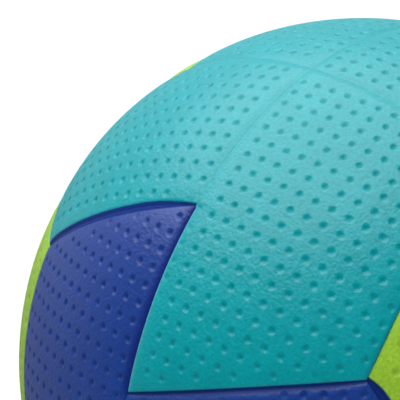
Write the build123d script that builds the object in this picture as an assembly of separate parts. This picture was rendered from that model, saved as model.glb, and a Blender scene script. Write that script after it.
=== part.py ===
from build123d import *
from math import cos, radians, sin
import os

# Handball, size 2: an inflated ball with a cover of 24 equal bonded panels.
# Millimetres and degrees. The origin is the middle of the ball and +Z is up.
# The cover has six faces of four panels, one face on each end of X, Y and Z.

# Ball and cover
BALL_DIAMETER = 175.0  # 550 mm round
COVER_THICKNESS = 4.0  # foamed panel with its skin
SEAM_GAP = 0.2  # glue line between two panels
SEAM_EDGE_RADIUS = 1.6  # rounding of a panel's outer edge, which makes the seam groove
STEM_ANGLE = 30.0  # from the end of a quarter-circle seam to the seam that branches off it

# Layers under the cover, from the outside in
BOND_LINE = 0.1  # glue between two layers
CARCASS_THICKNESS = 1.0  # rubber coat that the panels are bonded to
WINDING_THICKNESS = 1.0  # nylon thread wound round the bladder
BLADDER_THICKNESS = 1.2  # butyl bladder

# Valve
NECK_RADIUS = 3.2  # neck of the valve housing
NECK_CLEARANCE = 0.2  # round the neck, in every layer that it passes
NECK_REACH = 8.0  # length of the neck inside the bladder
HEAD_RECESS = 0.4  # how far the neck ends below the skin
FLANGE_RADIUS = 12.0  # flange bonded to the inside of the bladder
FLANGE_THICKNESS = 1.2
PLUG_RADIUS = 2.0  # self-sealing plug in the neck
PLUG_CLEARANCE = 0.05
PLUG_RECESS = 0.3  # how far the plug ends below the neck
PLUG_LENGTH = 10.0
RIB_HEIGHT = 0.5  # rib that holds the plug in the neck
RIB_LENGTH = 1.6
RIB_DEPTH = 4.0  # from the plug's outer end to its rib
NEEDLE_RADIUS = 0.9  # hole that the inflating needle goes into
NEEDLE_DEPTH = 7.0
FUNNEL_RADIUS = 1.4  # mouth of the needle hole
FUNNEL_DEPTH = 0.7

# Colour, name and direction of each face, and a direction that a seam leaves its middle in
FACES = [
    ("turquoise", "top", (0, 0, 1), (0, -1, 0)),
    ("turquoise", "bottom", (0, 0, -1), (0, -1, 0)),
    ("blue", "front", (0, -1, 0), (0, 0, 1)),
    ("blue", "back", (0, 1, 0), (0, 0, 1)),
    ("lime", "right", (1, 0, 0), (0, 0, 1)),
    ("lime", "left", (-1, 0, 0), (0, 0, 1)),
]
PANELS_PER_FACE = 4
VALVE_PANEL = "blue_back_panel_3"

# Radii of the layers
cover_outer = BALL_DIAMETER / 2
cover_inner = cover_outer - COVER_THICKNESS
carcass_outer = cover_inner - BOND_LINE
carcass_inner = carcass_outer - CARCASS_THICKNESS
winding_outer = carcass_inner - BOND_LINE
winding_inner = winding_outer - WINDING_THICKNESS
bladder_outer = winding_inner - BOND_LINE
bladder_inner = bladder_outer - BLADDER_THICKNESS
flange_outer = bladder_inner - BOND_LINE
flange_inner = flange_outer - FLANGE_THICKNESS

# Heights along the valve's axis, from the middle of the ball
neck_top = cover_outer - HEAD_RECESS
neck_bottom = bladder_inner - NECK_REACH
plug_top = neck_top - PLUG_RECESS
plug_bottom = plug_top - PLUG_LENGTH
rib_top = plug_top - RIB_DEPTH
rib_bottom = rib_top - RIB_LENGTH


def panel_corners():
    # Corners of one panel of the face on +Z, counter-clockwise from outside. Its long side runs
    # towards +X and its short side towards +Y; the other two sides meet in the middle of the octant.
    stem = radians(STEM_ANGLE)
    face_middle = Vector(0, 0, 1)
    long_end = Vector(cos(stem), 0, sin(stem))
    octant_middle = Vector(1, 1, 1).normalized()
    short_end = Vector(0, sin(stem), cos(stem))
    return [face_middle, long_end, octant_middle, short_end]


def hollow_ball(outer_radius, inner_radius):
    return Sphere(outer_radius) - Sphere(inner_radius)


def cover_panel():
    # A piece of the cover's shell between four planes, which pass the middle of the ball by half
    # the glue line, with its outer edge rounded all the way.
    corners = panel_corners()
    panel = hollow_ball(cover_outer, cover_inner)
    for start, end in zip(corners, corners[1:] + corners[:1]):
        inward = start.cross(end).normalized()
        side = Plane(origin=inward * (SEAM_GAP / 2), z_dir=inward)
        panel = split(panel, bisect_by=side, keep=Keep.TOP)
    skin = max(panel.faces(), key=lambda face: face.center().length)
    return fillet(skin.edges(), SEAM_EDGE_RADIUS)


def valve_direction():
    corners = panel_corners()
    return sum(corners[1:], corners[0]).normalized()


def on_valve_axis(solid):
    # Turns a solid made on the Z axis to the valve's axis through the first panel.
    return Plane(origin=(0, 0, 0), z_dir=valve_direction()).location * solid


def rod(radius, bottom, top):
    return Pos(0, 0, bottom) * Cylinder(radius, top - bottom, align=(Align.CENTER, Align.CENTER, Align.MIN))


def neck_hole():
    return on_valve_axis(rod(NECK_RADIUS + NECK_CLEARANCE, 0, BALL_DIAMETER))


def plug_body(clearance):
    # The plug's outside, or with a clearance the room for it in the neck.
    body = rod(PLUG_RADIUS + clearance, plug_bottom - clearance, plug_top)
    rib = rod(PLUG_RADIUS + RIB_HEIGHT + clearance, rib_bottom - clearance, rib_top + clearance)
    return body + rib


def valve_housing():
    # A moulded rubber neck with a flange that follows the inside of the bladder.
    neck = rod(NECK_RADIUS, neck_bottom, neck_top)
    flange = hollow_ball(flange_outer, flange_inner) & rod(FLANGE_RADIUS, 0, BALL_DIAMETER)
    entry = rod(PLUG_RADIUS + PLUG_CLEARANCE, plug_top, neck_top)
    return neck + flange - plug_body(PLUG_CLEARANCE) - entry


def valve_plug():
    # The needle hole is blind: its end is a slit that the needle parts and the air pressure shuts.
    needle_hole = rod(NEEDLE_RADIUS, plug_top - NEEDLE_DEPTH, plug_top)
    funnel = Pos(0, 0, plug_top - FUNNEL_DEPTH) * Cone(
        NEEDLE_RADIUS, FUNNEL_RADIUS, FUNNEL_DEPTH, align=(Align.CENTER, Align.CENTER, Align.MIN)
    )
    return plug_body(0) - needle_hole - funnel


def write(shape, node):
    export_step(shape, f"parts/{node}.step")


os.makedirs("parts", exist_ok=True)

panel = cover_panel()
valve_place = None
for colour, side, outward, along in FACES:
    for number in range(PANELS_PER_FACE):
        node = f"{colour}_{side}_panel_{number + 1}"
        quarter_turn = Rotation(0, 0, number * 360 / PANELS_PER_FACE)
        place = Plane(origin=(0, 0, 0), x_dir=along, z_dir=outward).location * quarter_turn
        if node == VALVE_PANEL:
            valve_place = place
            write(place * (panel - neck_hole()), node)
        else:
            write(place * panel, node)

layers = {
    "rubber_carcass": hollow_ball(carcass_outer, carcass_inner),
    "thread_winding": hollow_ball(winding_outer, winding_inner),
    "bladder": hollow_ball(bladder_outer, bladder_inner),
}
for node, layer in layers.items():
    write(valve_place * (layer - neck_hole()), node)

write(valve_place * on_valve_axis(valve_housing()), "valve_housing")
write(valve_place * on_valve_axis(valve_plug()), "valve_plug")

needle_axis = valve_place * Pos(valve_direction())
print("valve axis", needle_axis.position)
print("needle hole mouth", needle_axis.position * plug_top)
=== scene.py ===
# Handball: 24 dimpled foam panels bonded round a wound bladder, with a needle valve at the back
import math

import bmesh
import bpy
import numpy as np
from mathutils import Matrix, Quaternion, Vector


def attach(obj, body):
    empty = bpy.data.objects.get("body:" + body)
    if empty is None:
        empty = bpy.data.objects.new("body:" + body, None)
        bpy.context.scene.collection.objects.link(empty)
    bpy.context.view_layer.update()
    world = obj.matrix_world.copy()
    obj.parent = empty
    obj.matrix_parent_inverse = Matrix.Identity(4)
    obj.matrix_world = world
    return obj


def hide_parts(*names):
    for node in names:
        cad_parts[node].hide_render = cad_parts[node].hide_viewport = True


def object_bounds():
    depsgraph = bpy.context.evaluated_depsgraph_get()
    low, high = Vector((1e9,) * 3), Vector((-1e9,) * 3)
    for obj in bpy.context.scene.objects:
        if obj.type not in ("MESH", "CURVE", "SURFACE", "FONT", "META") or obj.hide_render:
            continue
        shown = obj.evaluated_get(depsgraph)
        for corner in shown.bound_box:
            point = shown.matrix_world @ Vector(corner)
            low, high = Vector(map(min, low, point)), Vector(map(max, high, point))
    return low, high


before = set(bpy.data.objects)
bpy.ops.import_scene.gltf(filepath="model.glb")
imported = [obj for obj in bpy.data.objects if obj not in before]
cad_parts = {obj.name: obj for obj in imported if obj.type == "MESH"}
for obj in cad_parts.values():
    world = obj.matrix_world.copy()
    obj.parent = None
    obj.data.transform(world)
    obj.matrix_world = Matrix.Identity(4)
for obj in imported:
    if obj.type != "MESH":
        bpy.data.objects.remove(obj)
cadLow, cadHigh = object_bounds()
scene = bpy.context.scene
mm = 0.001
tiny = 1e-7  # m
ballRadius = 87.5 * mm
print("frame loaded, box", [round(side / mm, 1) for side in cadHigh - cadLow], "mm")


def addNode(tree, kind, inputs=None, **settings):
    made = tree.nodes.new(kind)
    for name, value in settings.items():
        setattr(made, name, value)
    for socket, value in (inputs or {}).items():
        if isinstance(value, bpy.types.NodeSocket):
            tree.links.new(value, made.inputs[socket])
        else:
            made.inputs[socket].default_value = value
    return made


def sums(tree, operation, *values):
    return addNode(tree, "ShaderNodeMath", dict(enumerate(values)), operation=operation).outputs[0]


def vectorSums(tree, operation, *values):
    made = addNode(tree, "ShaderNodeVectorMath", dict(enumerate(values)), operation=operation)
    return made.outputs["Value" if operation in ("DOT_PRODUCT", "LENGTH") else "Vector"]


def mixTones(tree, share, first, second):
    # Inputs 6 and 7 of a mix node are its two colours, and output 2 is what comes of them
    made = addNode(tree, "ShaderNodeMix", {0: share, 6: first, 7: second}, data_type="RGBA")
    return made.outputs[2]


def roughAround(tree, noise, middle, spread):
    made = addNode(tree, "ShaderNodeMapRange", {
        "Value": noise, "To Min": middle - spread, "To Max": middle + spread})
    return made.outputs[0]


# Camera, at the photo's viewing angle with the ball low on the right
viewpoint = {
    "place": (0.27633, -0.28101, 0.31064),
    "aim": (-0.04080, -0.00694, 0.04092),
    "roll": -11.89,  # degrees about the line of sight
    "lens": 174.36,  # mm, as is the sensor's width
    "sensor": 36,
}


def makeCamera(setup):
    data = bpy.data.cameras.new("viewpoint")
    data.lens = setup["lens"]
    data.sensor_width = setup["sensor"]
    camera = bpy.data.objects.new("viewpoint", data)
    scene.collection.objects.link(camera)
    sight = Vector(setup["aim"]) - Vector(setup["place"])
    camera.location = setup["place"]
    camera.rotation_mode = "QUATERNION"
    roll = Quaternion((0, 0, 1), math.radians(setup["roll"]))
    camera.rotation_quaternion = sight.to_track_quat("-Z", "Y") @ roll
    scene.camera = camera


makeCamera(viewpoint)
scene.view_settings.view_transform = "Standard"

# Floor, soft lamps, and a room that shows only to the eye and in gloss
studio = {
    "floorSide": 8.0,
    "floorTone": (0.17, 0.17, 0.17),
    "floorGlow": 0.79,  # what the floor adds for the eye, so that it reads as white
    "floorGloss": (0.35, 1.0, 0.6),  # m behind the ball where the floor shows in its gloss, and how strongly
    "lamps": {
        "backSoftbox": {
            "from": (-0.308, 0.249, 0.918), "away": 1.1, "size": 1.85, "power": 13.7, "gloss": True},
        "topFill": {
            "from": (-0.42, 0.44, 0.79), "away": 1.4, "size": 2.4, "power": 23.4, "gloss": False},
        "frontFill": {
            "from": (0.62, -0.62, 0.30), "away": 1.6, "size": 1.6, "power": 14.4, "gloss": False},
        "leftFill": {
            "from": (-0.8, -0.55, 0.2), "away": 1.6, "size": 1.6, "power": 5.5, "gloss": False},
    },
    "backWay": (-0.56, 0.56, -0.61),  # the lit side of the room, behind the ball
    "backStart": -0.2,
    "backEnd": 0.4,
    "backLevel": 0.38,
    "roomLevel": 0.005,  # the rest of the room in the ball's gloss
}


def makeFloor(setup):
    half = setup["floorSide"] / 2
    mesh = bpy.data.meshes.new("floor")
    height = cadLow.z
    corners = [(-half, -half, height), (half, -half, height), (half, half, height), (-half, half, height)]
    mesh.from_pydata(corners, [], [(0, 1, 2, 3)])
    floor = bpy.data.objects.new("floor", mesh)
    scene.collection.objects.link(floor)
    paint = bpy.data.materials.new("paleFloor")
    paint.use_nodes = True
    tree = paint.node_tree
    tree.nodes.clear()
    path = addNode(tree, "ShaderNodeLightPath").outputs
    place = addNode(tree, "ShaderNodeTexCoord").outputs["Object"]
    beyond = vectorSums(tree, "DOT_PRODUCT", place, Vector(setup["backWay"]) * Vector((1, 1, 0)))
    start, end, share = setup["floorGloss"]
    behind = addNode(tree, "ShaderNodeMapRange", {
        "Value": beyond, "From Min": start, "From Max": end, "To Max": share})
    seen = sums(tree, "MAXIMUM", path["Is Camera Ray"], path["Is Transmission Ray"])
    seen = sums(tree, "MAXIMUM", seen, sums(tree, "MULTIPLY", path["Is Glossy Ray"], behind.outputs[0]))
    matt = addNode(tree, "ShaderNodeBsdfDiffuse", {"Color": (*setup["floorTone"], 1)})
    glow = addNode(tree, "ShaderNodeEmission", {"Strength": sums(tree, "MULTIPLY", seen, setup["floorGlow"])})
    both = addNode(tree, "ShaderNodeAddShader", {0: matt.outputs[0], 1: glow.outputs[0]})
    addNode(tree, "ShaderNodeOutputMaterial", {"Surface": both.outputs[0]})
    mesh.materials.append(paint)


def makeRoom(setup):
    world = bpy.data.worlds.new("room")
    scene.world = world
    world.use_nodes = True
    world.cycles.sampling_method = "NONE"  # so that the kind of ray always counts
    tree = world.node_tree
    tree.nodes.clear()
    path = addNode(tree, "ShaderNodeLightPath").outputs
    seen = sums(tree, "MAXIMUM", path["Is Camera Ray"], path["Is Glossy Ray"])
    seen = sums(tree, "MAXIMUM", seen, path["Is Transmission Ray"])
    way = addNode(tree, "ShaderNodeTexCoord").outputs["Generated"]
    facing = vectorSums(tree, "DOT_PRODUCT", way, Vector(setup["backWay"]).normalized())
    back = addNode(tree, "ShaderNodeMapRange", {
        "Value": facing, "From Min": setup["backStart"], "From Max": setup["backEnd"],
        "To Min": setup["roomLevel"], "To Max": setup["backLevel"]}, interpolation_type="SMOOTHSTEP")
    wall = sums(tree, "MAXIMUM", back.outputs[0], path["Is Camera Ray"])
    level = sums(tree, "MULTIPLY", seen, wall)
    light = addNode(tree, "ShaderNodeBackground", {"Color": (1, 1, 1, 1), "Strength": level})
    addNode(tree, "ShaderNodeOutputWorld", {"Surface": light.outputs[0]})


def makeLamp(name, setup):
    data = bpy.data.lights.new(name, "AREA")
    data.shape = "DISK"
    data.size = setup["size"]
    data.energy = setup["power"]
    data.cycles.use_multiple_importance_sampling = setup["gloss"]
    lamp = bpy.data.objects.new(name, data)
    scene.collection.objects.link(lamp)
    way = Vector(setup["from"]).normalized()
    lamp.location = way * setup["away"]
    lamp.rotation_mode = "QUATERNION"
    lamp.rotation_quaternion = way.to_track_quat("Z", "Y")
    lamp.visible_glossy = setup["gloss"]


makeFloor(studio)
makeRoom(studio)
for name, setup in studio["lamps"].items():
    makeLamp(name, setup)
print("camera, floor, room and lamps placed")

# Outline of one cover panel on the face at +Z: its long side runs towards +X, its short side towards +Y
outline = {
    "stemAngle": 30.0,  # degrees from the end of a quarter-circle seam to the seam that branches off it
    "halfGap": 0.005,  # mm between a panel's wall and the seam's middle
    "innerRadius": 83.5,  # mm, bonded side
    "branchBlend": 0.5,  # degrees over which a side's look changes at the branching seam
    "loops": (0.12, 2.44, 14),  # rows that shape the edge: mm from the seam to first and last, count
    "loopMargin": 2.5,  # mm, reach of the faces that a row may cut
    "edgeWeld": 0.012,  # mm
    "wallWeld": 0.004,
    "pillow": ((18.0, 0.34), (4.5, 0.26)),  # mm that the swell reaches in from the seam, and its drop
    "innerRings": 6,
}
stem = math.radians(outline["stemAngle"])
faceMiddle = Vector((0, 0, 1))
longEnd = Vector((math.cos(stem), 0, math.sin(stem)))
octantMiddle = Vector((1, 1, 1)).normalized()
shortEnd = Vector((0, math.sin(stem), math.cos(stem)))
panelCorners = [faceMiddle, longEnd, octantMiddle, shortEnd]

# The panel is made with its middle on +Z and laid in place afterwards
middle = sum(panelCorners, Vector()).normalized()
across = (Vector((1, 0, 0)) - middle * middle.x).normalized()
along = middle.cross(across)
layPanel = Matrix((across, along, middle)).transposed()
flatCorners = [layPanel.transposed() @ corner for corner in panelCorners]
seamNormals = [a.cross(b).normalized() for a, b in zip(flatCorners, flatCorners[1:] + flatCorners[:1])]

# Dimples, in rows along the panel's long side
dimples = {
    "pitch": 4.33,  # mm
    "radius": 1.25,
    "depth": 0.40,
    "rings": (0.30, 0.58, 0.82, 1.0, 1.22),  # of the radius
    "segments": 12,
    "turn": 9.5,  # degrees from the panel's own axis
    "rows": 33,
    "overhang": 1.4,  # pitches that the sheet reaches past a seam before it is cut
    "weld": 0.01,  # of the pitch
    "bareEdge": 1.3,  # mm from a seam to the first dimples
    "fadeWidth": 0.8,
    "seed": 7,  # every panel is cut from the sheet at a place of its own
    "setBack": {"turquoise": 1.5, "blue": 0.3, "lime": 1.0},  # mm more beside a stepped edge
    "lays": {  # pitch, turn, two shifts, pull and slant of the panels seen best
        "turquoise_top_panel_1": (4.241, 10.23, -0.98, -1.15, -0.0125, 0.0235),
        "turquoise_top_panel_4": (4.264, 8.77, 0.20, -1.22, 0.0004, 0.0280),
        "blue_front_panel_1": (4.330, 10.92, 0.13, 0.04, -0.0042, 0.0347),
        "blue_front_panel_4": (4.33, 9.5, 1.85, -1.70, 0.0, 0.0),
        "lime_right_panel_1": (4.33, 9.5, 0.68, -0.59, 0.0, 0.0),
    },
    "valveBare": 8.0,  # mm round the valve without dimples
}


def dimpleHeight(share):
    return 0.0 if share >= 1 else -((1 - share * share) ** 2)


def makeCell(setup):
    # One square of skin with its dimple, which the rows repeat edge to edge. Rings start at a corner
    half = setup["pitch"] / 2
    count = setup["segments"]
    points = [Vector((0, 0, dimpleHeight(0) * setup["depth"]))]
    for ring in setup["rings"]:
        for step in range(count):
            turn = math.radians(45) + step * math.tau / count
            reach = ring * setup["radius"]
            height = dimpleHeight(ring) * setup["depth"]
            points.append(Vector((reach * math.cos(turn), reach * math.sin(turn), height)))
    perSide = count // 4
    squareCorners = [Vector((half * x, half * y, 0)) for x, y in ((1, 1), (-1, 1), (-1, -1), (1, -1))]
    for side in range(4):
        start, end = squareCorners[side], squareCorners[(side + 1) % 4]
        points += [start.lerp(end, step / perSide) for step in range(perSide)]
    faces = [(0, 1 + step, 1 + (step + 1) % count) for step in range(count)]
    for ring in range(len(setup["rings"])):
        inner, outer = 1 + ring * count, 1 + (ring + 1) * count
        for step in range(count):
            after = (step + 1) % count
            faces.append((inner + step, outer + step, outer + after, inner + after))
    mesh = bpy.data.meshes.new("dimpleCell")
    mesh.from_pydata([point * mm for point in points], [], faces)
    return bpy.data.objects.new("dimpleCell", mesh)


def makeWrapTree():
    # Stretches a flat sheet and lays it on the ball: distance from the middle becomes an arc,
    # height stays height
    tree = bpy.data.node_groups.new("wrapOnBall", "GeometryNodeTree")
    tree.interface.new_socket("Flat", in_out="INPUT", socket_type="NodeSocketVector")
    tree.interface.new_socket("Stretch Across", in_out="INPUT", socket_type="NodeSocketVector")
    tree.interface.new_socket("Stretch Along", in_out="INPUT", socket_type="NodeSocketVector")
    tree.interface.new_socket("Ball Radius", in_out="INPUT", socket_type="NodeSocketFloat")
    tree.interface.new_socket("Round", in_out="OUTPUT", socket_type="NodeSocketVector")
    given = addNode(tree, "NodeGroupInput")
    parts = addNode(tree, "ShaderNodeSeparateXYZ", {0: given.outputs["Flat"]})
    level = vectorSums(
        tree, "ADD",
        vectorSums(tree, "MULTIPLY", given.outputs["Stretch Across"], parts.outputs["X"]),
        vectorSums(tree, "MULTIPLY", given.outputs["Stretch Along"], parts.outputs["Y"]))
    pulled = addNode(tree, "ShaderNodeSeparateXYZ", {0: level})
    reach = sums(tree, "MAXIMUM", vectorSums(tree, "LENGTH", level), tiny)
    angle = sums(tree, "DIVIDE", reach, given.outputs["Ball Radius"])
    radius = sums(tree, "ADD", given.outputs["Ball Radius"], parts.outputs["Z"])
    spread = sums(tree, "DIVIDE", sums(tree, "MULTIPLY", radius, sums(tree, "SINE", angle)), reach)
    laid = addNode(tree, "ShaderNodeCombineXYZ", {
        "X": sums(tree, "MULTIPLY", pulled.outputs["X"], spread),
        "Y": sums(tree, "MULTIPLY", pulled.outputs["Y"], spread),
        "Z": sums(tree, "MULTIPLY", radius, sums(tree, "COSINE", angle))})
    addNode(tree, "NodeGroupOutput", {"Round": laid.outputs[0]})
    return tree


def makeSheetTree(wrapTree):
    tree = bpy.data.node_groups.new("dimpledSheet", "GeometryNodeTree")
    tree.interface.new_socket("Sheet", in_out="OUTPUT", socket_type="NodeSocketGeometry")
    kinds = {"Cell": "Object", "Rows": "Int", "Pitch": "Float", "Turn": "Float", "Shift": "Vector",
             "Cell Scale": "Float", "Dimple Depth": "Float", "Stretch Across": "Vector",
             "Stretch Along": "Vector", "Ball Radius": "Float", "Bare Edge": "Float",
             "Set Back": "Float", "Fade Width": "Float", "Bare Middle": "Float",
             "Long Side": "Vector", "Long Stem": "Vector", "Short Stem": "Vector", "Short Side": "Vector",
             "Skin": "Material"}
    for name, kind in kinds.items():
        tree.interface.new_socket(name, in_out="INPUT", socket_type="NodeSocket" + kind)
    given = addNode(tree, "NodeGroupInput").outputs
    side = sums(tree, "MULTIPLY", given["Pitch"], sums(tree, "SUBTRACT", given["Rows"], 1))
    grid = addNode(tree, "GeometryNodeMeshGrid", {
        "Size X": side, "Size Y": side, "Vertices X": given["Rows"], "Vertices Y": given["Rows"]})
    shifted = addNode(tree, "GeometryNodeTransform", {
        "Geometry": grid.outputs[0], "Translation": given["Shift"]})
    turn = addNode(tree, "FunctionNodeAxisAngleToRotation", {"Axis": (0, 0, 1), "Angle": given["Turn"]})
    turned = addNode(tree, "GeometryNodeTransform", {
        "Geometry": shifted.outputs[0], "Rotation": turn.outputs[0]})

    # How far each lattice point is from the nearest seam, or from a stepped edge, which is set back
    place = addNode(tree, "GeometryNodeInputPosition").outputs[0]
    onBall = addNode(tree, "GeometryNodeGroup", node_tree=wrapTree)
    tree.links.new(place, onBall.inputs["Flat"])
    for name in ("Stretch Across", "Stretch Along", "Ball Radius"):
        tree.links.new(given[name], onBall.inputs[name])
    nearest = None
    for name in ("Long Side", "Long Stem", "Short Stem", "Short Side"):
        away = vectorSums(tree, "DOT_PRODUCT", onBall.outputs[0], given[name])
        if name == "Short Stem":
            away = sums(tree, "SUBTRACT", away, given["Set Back"])
        nearest = away if nearest is None else sums(tree, "MINIMUM", nearest, away)
    outside = sums(tree, "LESS_THAN", nearest, sums(tree, "MULTIPLY", given["Pitch"], -dimples["overhang"]))
    kept = addNode(tree, "GeometryNodeDeleteGeometry", {"Geometry": turned.outputs[0], "Selection": outside})

    # Dimples fade out towards the seams and round the valve
    edgeEnd = sums(tree, "ADD", given["Bare Edge"], given["Fade Width"])
    edgeFade = addNode(tree, "ShaderNodeMapRange", {
        "Value": nearest, "From Min": given["Bare Edge"], "From Max": edgeEnd},
        interpolation_type="SMOOTHSTEP")
    reach = vectorSums(tree, "LENGTH", place)
    middleEnd = sums(tree, "ADD", given["Bare Middle"], given["Fade Width"])
    middleFade = addNode(tree, "ShaderNodeMapRange", {
        "Value": reach, "From Min": given["Bare Middle"], "From Max": middleEnd},
        interpolation_type="SMOOTHSTEP")
    depth = sums(tree, "MULTIPLY", edgeFade.outputs[0], middleFade.outputs[0])
    size = addNode(tree, "ShaderNodeCombineXYZ", {
        "X": given["Cell Scale"], "Y": given["Cell Scale"], "Z": depth})
    cell = addNode(tree, "GeometryNodeObjectInfo", {"Object": given["Cell"], "As Instance": True})
    repeated = addNode(tree, "GeometryNodeInstanceOnPoints", {
        "Points": kept.outputs[0], "Instance": cell.outputs["Geometry"],
        "Rotation": turn.outputs[0], "Scale": size.outputs[0]})
    real = addNode(tree, "GeometryNodeRealizeInstances", {"Geometry": repeated.outputs[0]})
    weld = sums(tree, "MULTIPLY", given["Pitch"], dimples["weld"])
    joined = addNode(tree, "GeometryNodeMergeByDistance", {"Geometry": real.outputs[0], "Distance": weld})

    # The skin reads from this how deep in a dimple it is, for the painted shade and the lost gloss there
    height = addNode(tree, "ShaderNodeSeparateXYZ", {0: place}).outputs["Z"]
    hollow = sums(tree, "DIVIDE", sums(tree, "MULTIPLY", height, -1.0), given["Dimple Depth"])
    marked = addNode(tree, "GeometryNodeStoreNamedAttribute", {
        "Geometry": joined.outputs[0], "Name": "hollow", "Value": hollow}, data_type="FLOAT", domain="POINT")
    bent = addNode(tree, "GeometryNodeSetPosition", {
        "Geometry": marked.outputs[0], "Position": onBall.outputs[0]})
    smooth = addNode(tree, "GeometryNodeSetShadeSmooth", {"Geometry": bent.outputs[0]})
    skin = addNode(tree, "GeometryNodeSetMaterial", {
        "Geometry": smooth.outputs[0], "Material": given["Skin"]})
    addNode(tree, "NodeGroupOutput", {"Sheet": skin.outputs[0]})
    return tree


def dimpledSheet(tree, cell, skin, lay, setBack, bareMiddle):
    holder = bpy.data.objects.new("sheetHolder", bpy.data.meshes.new("sheetHolder"))
    scene.collection.objects.link(holder)
    rows = holder.modifiers.new("rows", "NODES")
    rows.node_group = tree
    pitch, turn, shiftAcross, shiftAlong, pull, slant = lay
    values = {
        "Cell": cell, "Rows": dimples["rows"], "Pitch": pitch * mm, "Cell Scale": pitch / dimples["pitch"],
        "Dimple Depth": dimples["depth"] * mm,
        "Turn": math.radians(turn), "Shift": (shiftAcross * mm, shiftAlong * mm, 0),
        "Stretch Across": (1 + pull, slant, 0), "Stretch Along": (slant, 1 - pull, 0),
        "Ball Radius": ballRadius, "Bare Edge": dimples["bareEdge"] * mm, "Set Back": setBack * mm,
        "Fade Width": dimples["fadeWidth"] * mm, "Bare Middle": bareMiddle * mm,
        "Long Side": seamNormals[0], "Long Stem": seamNormals[1],
        "Short Stem": seamNormals[2], "Short Side": seamNormals[3], "Skin": skin}
    sockets = {item.name: item.identifier for item in tree.interface.items_tree if item.in_out == "INPUT"}
    for name, value in values.items():
        rows[sockets[name]] = value
    bpy.context.view_layer.update()
    ready = holder.evaluated_get(bpy.context.evaluated_depsgraph_get())
    mesh = bpy.data.meshes.new_from_object(ready)
    holder.modifiers.remove(rows)
    bpy.data.objects.remove(holder)
    return mesh


# How a colour's edge is shaped and toned beside another: form and size of the edge in mm,
# then the tone painted along the groove, its strength, and mm from the seam where it ends and how softly.
# The tone is painted shade in the groove; on a stepped band beside blue it is the blue neighbour's colour,
# darkened as painted shade.
# A stepped edge is set back from the seam and narrows towards the ends of its stem.
# Tones painted along the seams: navy, dusk, moss, leaf, teal and the lime's own crease tone are painted shade
# in the grooves; shade and dusk on a stepped band are the blue neighbour's colour, darkened as painted shade
navy = (0.010, 0.013, 0.17)
dusk = (0.0085, 0.032, 0.20)
shade = (0.014, 0.048, 0.28)
moss = (0.02, 0.07, 0.01)
leaf = (0.10, 0.33, 0.06)
teal = (0.0, 0.24, 0.36)
# rimLight is a painted highlight along a turquoise rim beside blue
rimLight = (0.20, 0.64, 0.72)
edgeLooks = {
    "turquoise": {
        "own": ("soft", 1.90, 0.20, teal, 0.0, 0.10, 0.10),
        ("blue", "side"): ("round", 1.90, 0.50, rimLight, 0.5, 0.55, 0.90),
        ("blue", "long"): ("round", 0.55, 0.45, dusk, 0.0, 0.10, 0.12),
        ("blue", "short"): ("step", 2.35, 0.62, shade, 1.0, 1.80, 0.15),
        ("lime", "side"): ("round", 0.80, 0.45, moss, 0.5, 0.10, 0.15),
        ("lime", "long"): ("round", 0.80, 0.45, moss, 0.5, 0.10, 0.15),
        ("lime", "short"): ("round", 1.00, 0.42, teal, 0.7, 0.45, 0.90)},
    "blue": {
        "own": ("soft", 1.90, 0.25, navy, 0.3, 0.30, 0.60),
        ("turquoise", "side"): ("round", 2.20, 0.85, navy, 0.85, 1.00, 1.90),
        ("turquoise", "long"): ("round", 1.00, 0.50, dusk, 0.8, 0.55, 0.40),
        ("turquoise", "short"): ("step", 2.45, 0.55, dusk, 1.0, 1.50, 0.90),
        ("lime", "side"): ("round", 1.20, 0.60, navy, 1.0, 0.40, 0.60),
        ("lime", "long"): ("round", 1.20, 0.60, navy, 0.2, 0.30, 0.60),
        ("lime", "short"): ("round", 0.90, 0.50, navy, 0.8, 0.15, 0.20)},
    "lime": {
        "own": ("soft", 1.90, 0.25, (0.14, 0.25, 0.015), 0.3, 0.15, 0.20),
        ("turquoise", "side"): ("round", 0.70, 0.45, leaf, 0.7, 0.35, 0.70),
        ("turquoise", "long"): ("round", 0.70, 0.45, leaf, 0.7, 0.35, 0.70),
        ("turquoise", "short"): ("round", 0.70, 0.45, leaf, 0.7, 0.35, 0.70),
        ("blue", "side"): ("round", 0.80, 0.60, dusk, 1.0, 0.15, 0.15),
        ("blue", "long"): ("round", 0.80, 0.60, dusk, 1.0, 0.15, 0.15),
        ("blue", "short"): ("step", 2.45, 0.75, dusk, 1.0, 1.90, 0.20)},
}
# Share of a stepped edge's width that its wall takes up, then where the edge narrows, at the
# octant's middle and at the stem's far end: least share of its width, and share of the stem
stepShapes = {
    "turquoise": (0.55, (0.70, 0.10), (0.12, 0.28)),
    "blue": (0.70, (0.50, 0.16), (0.55, 0.30)),
    "lime": (0.55, (0.40, 0.09), (0.50, 0.20)),
}
ownSwell = 0.4  # of the swell beside another colour


def seamDistances(points):
    return np.array([points @ np.array(normal) for normal in seamNormals]) / mm


def stemTaper(points, narrowing):
    # How far a stepped edge has opened along its stem, from the octant's middle to the far end
    start, end = np.array(flatCorners[2]), np.array(flatCorners[3])
    ahead = end - start * (start @ end)
    whole = math.atan2(np.linalg.norm(ahead), start @ end)
    share = np.arctan2(points @ (ahead / np.linalg.norm(ahead)), points @ start) / whole
    opened = np.ones(len(points))
    for (least, length), way in zip(narrowing, (share, 1 - share)):
        part = np.clip(way / length, 0, 1)
        opened = np.minimum(opened, least + (1 - least) * part * (2 - part))
    return opened


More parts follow.
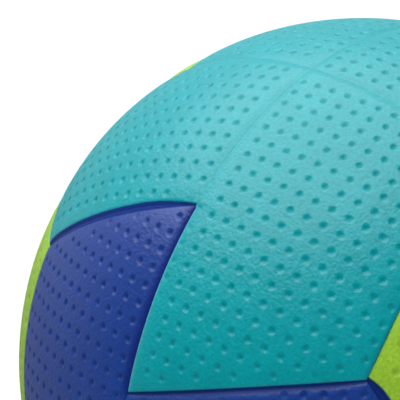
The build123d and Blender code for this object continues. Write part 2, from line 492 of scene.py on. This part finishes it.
def seamBorders(points, colour, longWay, shortWay):
    # Distance, look, share and narrowing of each border. Along its long side a panel first meets
    # its own colour, then past the branching seam the next face's
    distances = np.clip(seamDistances(points), 0, None)
    base = points @ np.array(layPanel).T
    angle = np.degrees(np.arctan2(base[:, 0], base[:, 2]))
    outerHalf = np.clip((angle - outline["stemAngle"]) / outline["branchBlend"] + 0.5, 0, 1)
    whole = np.ones(len(points))
    looks = edgeLooks[colour]
    return [(distances[0], looks["own"], 1 - outerHalf, whole),
            (distances[0], looks[longWay, "side"], outerHalf, whole),
            (distances[1], looks[longWay, "long"], whole, whole),
            (distances[2], looks[shortWay, "short"], whole, stemTaper(points, stepShapes[colour][1:])),
            (distances[3], looks["own"], whole, whole)]


def edgeDrop(borders, own, wall):
    # How far the skin lies below the ball, in mm
    total = 0
    for away, look, part, opened in borders:
        form, width, depth = look[:3]
        near = np.clip(1 - away / (width * opened), 0, 1)
        if form == "round":
            fall = 1 - np.sqrt(1 - near ** 2)
        elif form == "soft":
            fall = near * near * (3 - 2 * near)
        else:
            fall = np.clip(near / wall, 0, 1) ** 2
        drop = depth * fall
        for reach, swell in outline["pillow"]:
            swell = swell * (ownSwell if look is own else 1.0)
            drop = drop + swell * np.clip(1 - away / reach, 0, 1) ** 2
        total = total + (part * drop) ** 3
    return np.cbrt(total)


def closePanel(sheet, colour, longWay, shortWay):
    # Cuts the sheet along its seams, shapes the edge and closes it with walls and a bonded side
    mesh = bmesh.new()
    mesh.from_mesh(sheet)
    for normal in seamNormals:
        bmesh.ops.bisect_plane(mesh, geom=mesh.verts[:] + mesh.edges[:] + mesh.faces[:], dist=tiny,
                               plane_co=normal * outline["halfGap"] * mm, plane_no=normal, clear_inner=True)
    margin = outline["loopMargin"] * mm
    for offset in np.linspace(*outline["loops"]):
        for normal in seamNormals:
            reach = offset * mm + margin
            near = [face for face in mesh.faces if -margin < normal.dot(face.calc_center_median()) < reach]
            edges = {edge for face in near for edge in face.edges}
            points = {point for face in near for point in face.verts}
            bmesh.ops.bisect_plane(mesh, geom=[*points, *edges, *near], dist=tiny,
                                   plane_co=normal * offset * mm, plane_no=normal)
    bmesh.ops.remove_doubles(mesh, verts=mesh.verts[:], dist=outline["edgeWeld"] * mm)
    points = np.array([point.co for point in mesh.verts])
    borders = seamBorders(points, colour, longWay, shortWay)
    drops = edgeDrop(borders, edgeLooks[colour]["own"], stepShapes[colour][0])
    for point, drop in zip(mesh.verts, drops):
        point.co *= 1 - drop * mm / point.co.length

    rim = [edge for edge in mesh.edges if edge.is_boundary]
    inner = outline["innerRadius"] * mm
    for ring in range(outline["innerRings"] + 1):
        made = bmesh.ops.extrude_edge_only(mesh, edges=rim)["geom"]
        rim = [item for item in made if isinstance(item, bmesh.types.BMEdge)]
        rim = [edge for edge in rim if edge.is_boundary]
        share = ring / outline["innerRings"]
        for point in [item for item in made if isinstance(item, bmesh.types.BMVert)]:
            way = point.co.normalized()
            if ring == 0:
                point.co = way * inner
            else:
                kept = (1 - share) / (1 - (ring - 1) / outline["innerRings"])
                point.co = Vector((0, 0, 1)).slerp(way, kept) * inner
    bmesh.ops.remove_doubles(mesh, verts=mesh.verts[:], dist=outline["wallWeld"] * mm)
    bmesh.ops.recalc_face_normals(mesh, faces=mesh.faces[:])
    for face in mesh.faces:
        face.smooth = True
    mesh.to_mesh(sheet)
    mesh.free()
    return sheet


cell = makeCell(dimples)
wrapTree = makeWrapTree()
sheetTree = makeSheetTree(wrapTree)

# Skins: soft foam leather in three colours
skins = {
    "turquoise": {"tone": (0.0015, 0.425, 0.480), "deep": (0.001, 0.33, 0.375), "roughness": 0.38},
    "blue": {"tone": (0.012, 0.062, 0.345), "deep": (0.011, 0.046, 0.26), "roughness": 0.38},
    "lime": {"tone": (0.42, 0.745, 0.055), "deep": (0.30, 0.56, 0.04), "roughness": 0.38},
}
skinGrain = {
    "gloss": 1.0,
    "grooveMatt": 0.75,  # share of the gloss lost where a groove has its painted shade
    "hollowMatt": 0.6,  # the same at the bottom of a dimple
    "hollowShade": 0.35,  # how far the colour there goes towards the darker tone below: painted shade
    "dimpleShadeTone": 0.5,  # share of the deep tone: the colour of the dimples' painted shade
    "ior": 1.5,
    "mottle": {"Scale": 150.0, "Detail": 4.0},
    "wrinkle": {"Scale": 800.0, "Detail": 3.0, "Distortion": 0.3},
    "grain": {"Scale": 1400.0, "Detail": 2.0},
    "mottleDye": (0.35, 0.65, 0.3),  # noise levels of the plain and the deep tone, and their weight
    "grainDye": (0.3, 0.7, 0.8),
    "roughRange": 0.07,
    "wrinkleRelief": 0.45,
    "grainRelief": 0.55,
    "bump": 1.0,
    "bumpHeight": 0.20,  # mm
}


def dyeShare(tree, noise, levels):
    plain, deep, weight = levels
    ranged = addNode(tree, "ShaderNodeMapRange", {"Value": noise, "From Min": plain, "From Max": deep})
    return sums(tree, "MULTIPLY", ranged.outputs[0], weight)


def makeSkin(colour):
    look = skins[colour]
    paint = bpy.data.materials.new(colour + "FoamSkin")
    paint.use_nodes = True
    tree = paint.node_tree
    shader = tree.nodes["Principled BSDF"]
    place = addNode(tree, "ShaderNodeTexCoord").outputs["Object"]
    mottle, wrinkle, grain = [
        addNode(tree, "ShaderNodeTexNoise", {"Vector": place, **skinGrain[name]}).outputs[0]
        for name in ("mottle", "wrinkle", "grain")]

    # Colour: slightly uneven dye, painted shade in the dimples, and the tone painted along the seams: painted
    # shade in the grooves, a painted highlight along one rim
    depth = sums(tree, "ADD", dyeShare(tree, mottle, skinGrain["mottleDye"]),
                 dyeShare(tree, grain, skinGrain["grainDye"]))
    dye = mixTones(tree, depth, (*look["tone"], 1), (*look["deep"], 1))
    hollow = addNode(tree, "ShaderNodeAttribute", attribute_name="hollow").outputs["Fac"]
    # Painted shade: the colour darkens towards the bottom of each dimple
    dimpleShadeTone = (*(skinGrain["dimpleShadeTone"] * part for part in look["deep"]), 1)
    shaded = mixTones(tree, sums(tree, "MULTIPLY", hollow, skinGrain["hollowShade"]), dye, dimpleShadeTone)
    # Painted shade in the seams' grooves, and a painted highlight along one turquoise rim
    seamShadeLayer = addNode(tree, "ShaderNodeAttribute", attribute_name="seamShadeAndHighlight")
    withSeamShade = mixTones(tree, seamShadeLayer.outputs["Alpha"], shaded, seamShadeLayer.outputs["Color"])
    tree.links.new(withSeamShade, shader.inputs["Base Color"])

    # Gloss: less of it in the grooves and dimples
    rough = roughAround(tree, wrinkle, look["roughness"], skinGrain["roughRange"])
    tree.links.new(rough, shader.inputs["Roughness"])
    lost = sums(tree, "MAXIMUM", sums(tree, "MULTIPLY", seamShadeLayer.outputs["Alpha"], skinGrain["grooveMatt"]),
                sums(tree, "MULTIPLY", hollow, skinGrain["hollowMatt"]))
    gloss = sums(tree, "MULTIPLY", sums(tree, "SUBTRACT", 1.0, lost), skinGrain["gloss"])
    tree.links.new(gloss, shader.inputs["Specular IOR Level"])
    shader.inputs["IOR"].default_value = skinGrain["ior"]

    relief = sums(tree, "ADD", sums(tree, "MULTIPLY", wrinkle, skinGrain["wrinkleRelief"]),
                  sums(tree, "MULTIPLY", grain, skinGrain["grainRelief"]))
    bump = addNode(tree, "ShaderNodeBump", {
        "Strength": skinGrain["bump"], "Distance": skinGrain["bumpHeight"] * mm, "Height": relief})
    tree.links.new(bump.outputs[0], shader.inputs["Normal"])
    return paint


skinMaterials = {colour: makeSkin(colour) for colour in skins}
print("dimple rows and skins ready")

# Valve opening in the middle of one panel, with a rounded rim
valve = {
    "panel": "blue_back_panel_3",
    "holeRadius": 3.4,  # mm
    "rimRound": 0.9,
    "rimSteps": 6,
    "bottom": 80.0,  # mm from the ball's middle
    "lip": (0.4, 0.05),  # mm that the cut goes on outward and above the skin
    "above": 3.0,
    "segments": 64,
}


def makeOpening(setup):
    # A closed turned shape: straight below, flaring out to the skin
    top = ballRadius / mm
    profile = [(setup["holeRadius"], setup["bottom"]), (setup["holeRadius"], top - setup["rimRound"])]
    for step in range(1, setup["rimSteps"] + 1):
        turn = math.radians(90 * step / setup["rimSteps"])
        out = setup["holeRadius"] + setup["rimRound"] * (1 - math.cos(turn))
        profile.append((out, top - setup["rimRound"] + setup["rimRound"] * math.sin(turn)))
    profile.append((profile[-1][0] + setup["lip"][0], top + setup["lip"][1]))
    profile.append((profile[-1][0], top + setup["above"]))
    mesh = bmesh.new()
    rings = []
    for reach, height in profile:
        ring = []
        for step in range(setup["segments"]):
            turn = step * math.tau / setup["segments"]
            ring.append(mesh.verts.new(Vector((reach * math.cos(turn), reach * math.sin(turn), height)) * mm))
        rings.append(ring)
    for low, high in zip(rings, rings[1:]):
        for step in range(setup["segments"]):
            after = (step + 1) % setup["segments"]
            mesh.faces.new((low[step], low[after], high[after], high[step]))
    mesh.faces.new(rings[0][::-1])
    mesh.faces.new(rings[-1])
    bmesh.ops.recalc_face_normals(mesh, faces=mesh.faces[:])
    cutter = bpy.data.meshes.new("valveOpening")
    mesh.to_mesh(cutter)
    mesh.free()
    return cutter


def cutOpening(panelMesh, cutterMesh):
    panel = bpy.data.objects.new("panelToCut", panelMesh)
    cutter = bpy.data.objects.new("openingCutter", cutterMesh)
    scene.collection.objects.link(panel)
    scene.collection.objects.link(cutter)
    cut = panel.modifiers.new("opening", "BOOLEAN")
    cut.operation = "DIFFERENCE"
    cut.solver = "EXACT"
    cut.object = cutter
    bpy.context.view_layer.update()
    mesh = bpy.data.meshes.new_from_object(panel.evaluated_get(bpy.context.evaluated_depsgraph_get()))
    panel.modifiers.remove(cut)
    bpy.data.objects.remove(panel)
    bpy.data.objects.remove(cutter)
    return mesh


# Faces of the cover: colour, side, outward, and the way that the first panel's long side runs
coverFaces = [
    ("turquoise", "top", (0, 0, 1), (0, -1, 0)),
    ("turquoise", "bottom", (0, 0, -1), (0, -1, 0)),
    ("blue", "front", (0, -1, 0), (0, 0, 1)),
    ("blue", "back", (0, 1, 0), (0, 0, 1)),
    ("lime", "right", (1, 0, 0), (0, 0, 1)),
    ("lime", "left", (-1, 0, 0), (0, 0, 1)),
]
panelsPerFace = 4


def colourAt(way):
    return max(coverFaces, key=lambda face: Vector(face[2]).dot(way))[0]


def paintSeamShadeAndHighlight(mesh, colour, longWay, shortWay):
    # Writes the tone painted along the seams (painted shade in the grooves, along one rim a painted
    # highlight) and its strength on every point of a panel, before it is laid in place
    count = len(mesh.vertices)
    flat = np.zeros(count * 3)
    mesh.vertices.foreach_get("co", flat)
    tones = np.zeros((count, 4))
    for away, look, part, opened in seamBorders(flat.reshape(-1, 3), colour, longWay, shortWay):
        tone, most, width, blur = look[3:]
        strength = most * part * np.clip((width * opened + blur / 2 - away) / blur, 0, 1)
        stronger = strength > tones[:, 3]
        tones[stronger, :3] = tone
        tones[stronger, 3] = strength[stronger]
    layer = mesh.color_attributes.new("seamShadeAndHighlight", "FLOAT_COLOR", "POINT")
    layer.data.foreach_set("color", tones.astype(np.float32).ravel())


def makePanel(node, name, colour, turn, lay):
    holed = node == valve["panel"]
    longWay, shortWay = colourAt(turn @ Vector((1, 0, 0))), colourAt(turn @ Vector((0, 1, 0)))
    bare = dimples["valveBare"] if holed else 0.0
    stepped = edgeLooks[colour][shortWay, "short"][0] == "step"
    setBack = dimples["setBack"][colour] if stepped else 0.0
    mesh = dimpledSheet(sheetTree, cell, skinMaterials[colour], lay, setBack, bare)
    closePanel(mesh, colour, longWay, shortWay)
    if holed:
        mesh = cutOpening(mesh, makeOpening(valve))
    paintSeamShadeAndHighlight(mesh, colour, longWay, shortWay)
    mesh.transform((turn @ layPanel).to_4x4())
    mesh.name = name
    piece = bpy.data.objects.new(name, mesh)
    scene.collection.objects.link(piece)
    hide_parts(node)
    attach(piece, "root")
    return mesh


cuts = np.random.default_rng(dimples["seed"])
for colour, side, outward, firstWay in coverFaces:
    up, way = Vector(outward), Vector(firstWay)
    faceTurn = Matrix((way, up.cross(way), up)).transposed()
    for number in range(panelsPerFace):
        node = f"{colour}_{side}_panel_{number + 1}"
        anyShift = cuts.uniform(-0.5, 0.5, 2) * dimples["pitch"]
        lay = dimples["lays"].get(node, (dimples["pitch"], dimples["turn"], *anyShift, 0.0, 0.0))
        turn = faceTurn @ Matrix.Rotation(math.radians(360 / panelsPerFace * number), 3, "Z")
        mesh = makePanel(node, f"{colour}_{side}_skin_{number + 1}", colour, turn, lay)
    triangles = sum(len(face.vertices) - 2 for face in mesh.polygons)
    print(colour, side, "panels laid, the last with", triangles, "triangles")

# Layers under the cover and the valve keep their solids
rubbers = {
    "rubber_carcass": {
        "tone": (0.012, 0.012, 0.013), "light": (0.03, 0.03, 0.032), "roughness": 0.7, "scale": 900.0},
    "bladder": {
        "tone": (0.010, 0.010, 0.011), "light": (0.022, 0.022, 0.024), "roughness": 0.45, "scale": 500.0},
    "valve_housing": {
        "tone": (0.016, 0.016, 0.018), "light": (0.04, 0.04, 0.043), "roughness": 0.6, "scale": 1800.0},
    "valve_plug": {
        "tone": (0.03, 0.03, 0.032), "light": (0.06, 0.06, 0.063), "roughness": 0.55, "scale": 2200.0},
}
rubberGrain = {
    "detail": 4.0,
    "roughRange": 0.1,
    "bump": 0.3,
    "bumpHeight": 0.05,  # mm
}


def makeRubber(name, look):
    paint = bpy.data.materials.new(name + "Rubber")
    paint.use_nodes = True
    tree = paint.node_tree
    shader = tree.nodes["Principled BSDF"]
    place = addNode(tree, "ShaderNodeTexCoord").outputs["Object"]
    bloom = addNode(tree, "ShaderNodeTexNoise", {
        "Vector": place, "Scale": look["scale"], "Detail": rubberGrain["detail"]}).outputs[0]
    tone = mixTones(tree, bloom, (*look["tone"], 1), (*look["light"], 1))
    tree.links.new(tone, shader.inputs["Base Color"])
    rough = roughAround(tree, bloom, look["roughness"], rubberGrain["roughRange"])
    tree.links.new(rough, shader.inputs["Roughness"])
    bump = addNode(tree, "ShaderNodeBump", {
        "Strength": rubberGrain["bump"], "Distance": rubberGrain["bumpHeight"] * mm, "Height": bloom})
    tree.links.new(bump.outputs[0], shader.inputs["Normal"])
    return paint


windingLook = {
    "tone": (0.62, 0.60, 0.54),
    "shade": (0.30, 0.28, 0.24),
    "bands": ((0.4, 0.2, 0.0), (1.3, 0.9, 0.5), (2.2, -0.6, 1.1)),  # turn of each, in radians
    "wave": {"Scale": 900.0, "Distortion": 6.0, "Detail": 1.0, "Detail Scale": 0.02},
    "roughness": 0.55,
    "bump": 0.6,
    "bumpHeight": 0.2,  # mm
}


def makeThread(look):
    # Fine nylon thread laid in crossing bands
    paint = bpy.data.materials.new("woundNylon")
    paint.use_nodes = True
    tree = paint.node_tree
    shader = tree.nodes["Principled BSDF"]
    place = addNode(tree, "ShaderNodeTexCoord").outputs["Object"]
    bands = []
    for turn in look["bands"]:
        turned = addNode(tree, "ShaderNodeMapping", {"Vector": place, "Rotation": turn}).outputs[0]
        wave = addNode(tree, "ShaderNodeTexWave", {"Vector": turned, **look["wave"]})
        bands.append(wave.outputs["Fac"])
    lay = sums(tree, "MAXIMUM", sums(tree, "MAXIMUM", bands[0], bands[1]), bands[2])
    tone = mixTones(tree, lay, (*look["shade"], 1), (*look["tone"], 1))
    tree.links.new(tone, shader.inputs["Base Color"])
    shader.inputs["Roughness"].default_value = look["roughness"]
    bump = addNode(tree, "ShaderNodeBump", {
        "Strength": look["bump"], "Distance": look["bumpHeight"] * mm, "Height": lay})
    tree.links.new(bump.outputs[0], shader.inputs["Normal"])
    return paint


def finishNode(name, paint):
    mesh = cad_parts[name].data
    mesh.materials.clear()
    mesh.materials.append(paint)


for name, look in rubbers.items():
    finishNode(name, makeRubber(name, look))
finishNode("thread_winding", makeThread(windingLook))
print("layers and valve finished")

bpy.data.objects.remove(cell)
